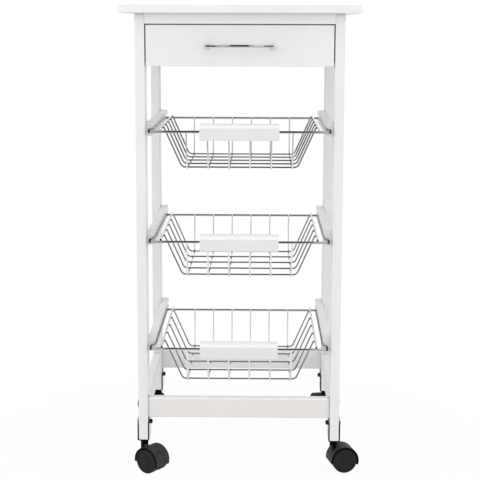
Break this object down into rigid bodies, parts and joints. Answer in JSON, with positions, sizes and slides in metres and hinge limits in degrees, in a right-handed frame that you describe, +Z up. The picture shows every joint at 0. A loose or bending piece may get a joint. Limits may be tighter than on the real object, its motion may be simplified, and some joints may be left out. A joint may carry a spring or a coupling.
{
  "type": "rolling kitchen cart",
  "caption": "White rolling kitchen cart with a table top, an inset drawer and pull-out chrome wire baskets on black swivel casters",
  "frame": {"origin": "On the floor under the middle of the table top, at the bottom centre of the bounding box", "axes": "+Z is up, +X is to the right of someone facing the drawer, +Y points away from them, to the back"},
  "size_m": [0.3908, 0.372, 0.75],
  "materials": {
    "white_paint": "satin white paint over wood",
    "table_paint": "satin white paint over a wooden board",
    "panel_board": "thin white-faced board",
    "chrome_wire": "bright chrome plate",
    "strap_steel": "bright rolled steel strip with dark sheared edges",
    "screw_steel": "plain zinc-plated steel",
    "caster_shell": "moulded black plastic, slight sheen",
    "wheel_plastic": "moulded black plastic, scuffed tread"
  },
  "bodies": {
    "frame": {"tabletop": "table_paint", "leg_front_left": "white_paint", "leg_front_right": "white_paint", "leg_rear_left": "white_paint", "leg_rear_right": "white_paint", "front_top_rail": "white_paint", "apron_left": "white_paint", "apron_right": "white_paint", "apron_rear": "white_paint", "drawer_runner_left": "white_paint", "drawer_runner_right": "white_paint", "basket_runner_bottom_left": "white_paint", "basket_runner_bottom_right": "white_paint", "basket_runner_middle_left": "white_paint", "basket_runner_middle_right": "white_paint", "basket_runner_top_left": "white_paint", "basket_runner_top_right": "white_paint", "lower_rail_front": "white_paint", "lower_rail_rear": "white_paint", "lower_rail_left": "white_paint", "lower_rail_right": "white_paint", "caster_straps": "strap_steel", "caster_stems": "screw_steel", "strap_bolts": "screw_steel", "frame_screws": "screw_steel"},
    "drawer": {"drawer_front": "white_paint", "drawer_side_left": "white_paint", "drawer_side_right": "white_paint", "drawer_back": "white_paint", "drawer_bottom": "panel_board", "drawer_handle": "chrome_wire", "handle_screws": "screw_steel"},
    "basket_bottom": {"basket_bottom_frame": "chrome_wire", "basket_bottom_hoops": "chrome_wire", "basket_bottom_bars": "chrome_wire", "basket_bottom_grip": "white_paint"},
    "basket_middle": {"basket_middle_frame": "chrome_wire", "basket_middle_hoops": "chrome_wire", "basket_middle_bars": "chrome_wire", "basket_middle_grip": "white_paint"},
    "basket_top": {"basket_top_frame": "chrome_wire", "basket_top_hoops": "chrome_wire", "basket_top_bars": "chrome_wire", "basket_top_grip": "white_paint"},
    "caster_front_left": {"caster_front_left_housing": "caster_shell", "caster_front_left_axle": "screw_steel"},
    "wheel_front_left_a": {"caster_front_left_wheel_a": "wheel_plastic"},
    "wheel_front_left_b": {"caster_front_left_wheel_b": "wheel_plastic"},
    "caster_front_right": {"caster_front_right_housing": "caster_shell", "caster_front_right_axle": "screw_steel"},
    "wheel_front_right_a": {"caster_front_right_wheel_a": "wheel_plastic"},
    "wheel_front_right_b": {"caster_front_right_wheel_b": "wheel_plastic"},
    "caster_rear_left": {"caster_rear_left_housing": "caster_shell", "caster_rear_left_axle": "screw_steel"},
    "wheel_rear_left_a": {"caster_rear_left_wheel_a": "wheel_plastic"},
    "wheel_rear_left_b": {"caster_rear_left_wheel_b": "wheel_plastic"},
    "caster_rear_right": {"caster_rear_right_housing": "caster_shell", "caster_rear_right_axle": "screw_steel"},
    "wheel_rear_right_a": {"caster_rear_right_wheel_a": "wheel_plastic"},
    "wheel_rear_right_b": {"caster_rear_right_wheel_b": "wheel_plastic"}
  },
  "joints": [
    {"name": "drawer_slide", "type": "slide", "parent": "frame", "child": "drawer", "axis": [0, -1, 0], "range_m": [0, 0.19]},
    {"name": "basket_bottom_slide", "type": "slide", "parent": "frame", "child": "basket_bottom", "axis": [0, -1, 0], "range_m": [0, 0.18]},
    {"name": "basket_middle_slide", "type": "slide", "parent": "frame", "child": "basket_middle", "axis": [0, -1, 0], "range_m": [0, 0.18]},
    {"name": "basket_top_slide", "type": "slide", "parent": "frame", "child": "basket_top", "axis": [0, -1, 0], "range_m": [0, 0.18]},
    {"name": "swivel_front_left", "type": "hinge", "parent": "frame", "child": "caster_front_left", "pos_m": [-0.1545, -0.143, 0.048], "axis": [0, 0, 1], "continuous": true},
    {"name": "wheel_front_left_a_spin", "type": "hinge", "parent": "caster_front_left", "child": "wheel_front_left_a", "pos_m": [-0.14172, -0.15195, 0.02], "axis": [0.5736, 0.8192, 0], "continuous": true},
    {"name": "wheel_front_left_b_spin", "type": "hinge", "parent": "caster_front_left", "child": "wheel_front_left_b", "pos_m": [-0.14172, -0.15195, 0.02], "axis": [0.5736, 0.8192, 0], "continuous": true},
    {"name": "swivel_front_right", "type": "hinge", "parent": "frame", "child": "caster_front_right", "pos_m": [0.1545, -0.143, 0.048], "axis": [0, 0, 1], "continuous": true},
    {"name": "wheel_front_right_a_spin", "type": "hinge", "parent": "caster_front_right", "child": "wheel_front_right_a", "pos_m": [0.1697, -0.13949, 0.02], "axis": [-0.225, 0.9744, 0], "continuous": true},
    {"name": "wheel_front_right_b_spin", "type": "hinge", "parent": "caster_front_right", "child": "wheel_front_right_b", "pos_m": [0.1697, -0.13949, 0.02], "axis": [-0.225, 0.9744, 0], "continuous": true},
    {"name": "swivel_rear_left", "type": "hinge", "parent": "frame", "child": "caster_rear_left", "pos_m": [-0.1545, 0.143, 0.048], "axis": [0, 0, 1], "continuous": true},
    {"name": "wheel_rear_left_a_spin", "type": "hinge", "parent": "caster_rear_left", "child": "wheel_rear_left_a", "pos_m": [-0.16645, 0.15303, 0.02], "axis": [-0.6428, -0.766, 0], "continuous": true},
    {"name": "wheel_rear_left_b_spin", "type": "hinge", "parent": "caster_rear_left", "child": "wheel_rear_left_b", "pos_m": [-0.16645, 0.15303, 0.02], "axis": [-0.6428, -0.766, 0], "continuous": true},
    {"name": "swivel_rear_right", "type": "hinge", "parent": "frame", "child": "caster_rear_right", "pos_m": [0.1545, 0.143, 0.048], "axis": [0, 0, 1], "continuous": true},
    {"name": "wheel_rear_right_a_spin", "type": "hinge", "parent": "caster_rear_right", "child": "wheel_rear_right_a", "pos_m": [0.15046, 0.15807, 0.02], "axis": [-0.9659, -0.2588, 0], "continuous": true},
    {"name": "wheel_rear_right_b_spin", "type": "hinge", "parent": "caster_rear_right", "child": "wheel_rear_right_b", "pos_m": [0.15046, 0.15807, 0.02], "axis": [-0.9659, -0.2588, 0], "continuous": true}
  ]
}
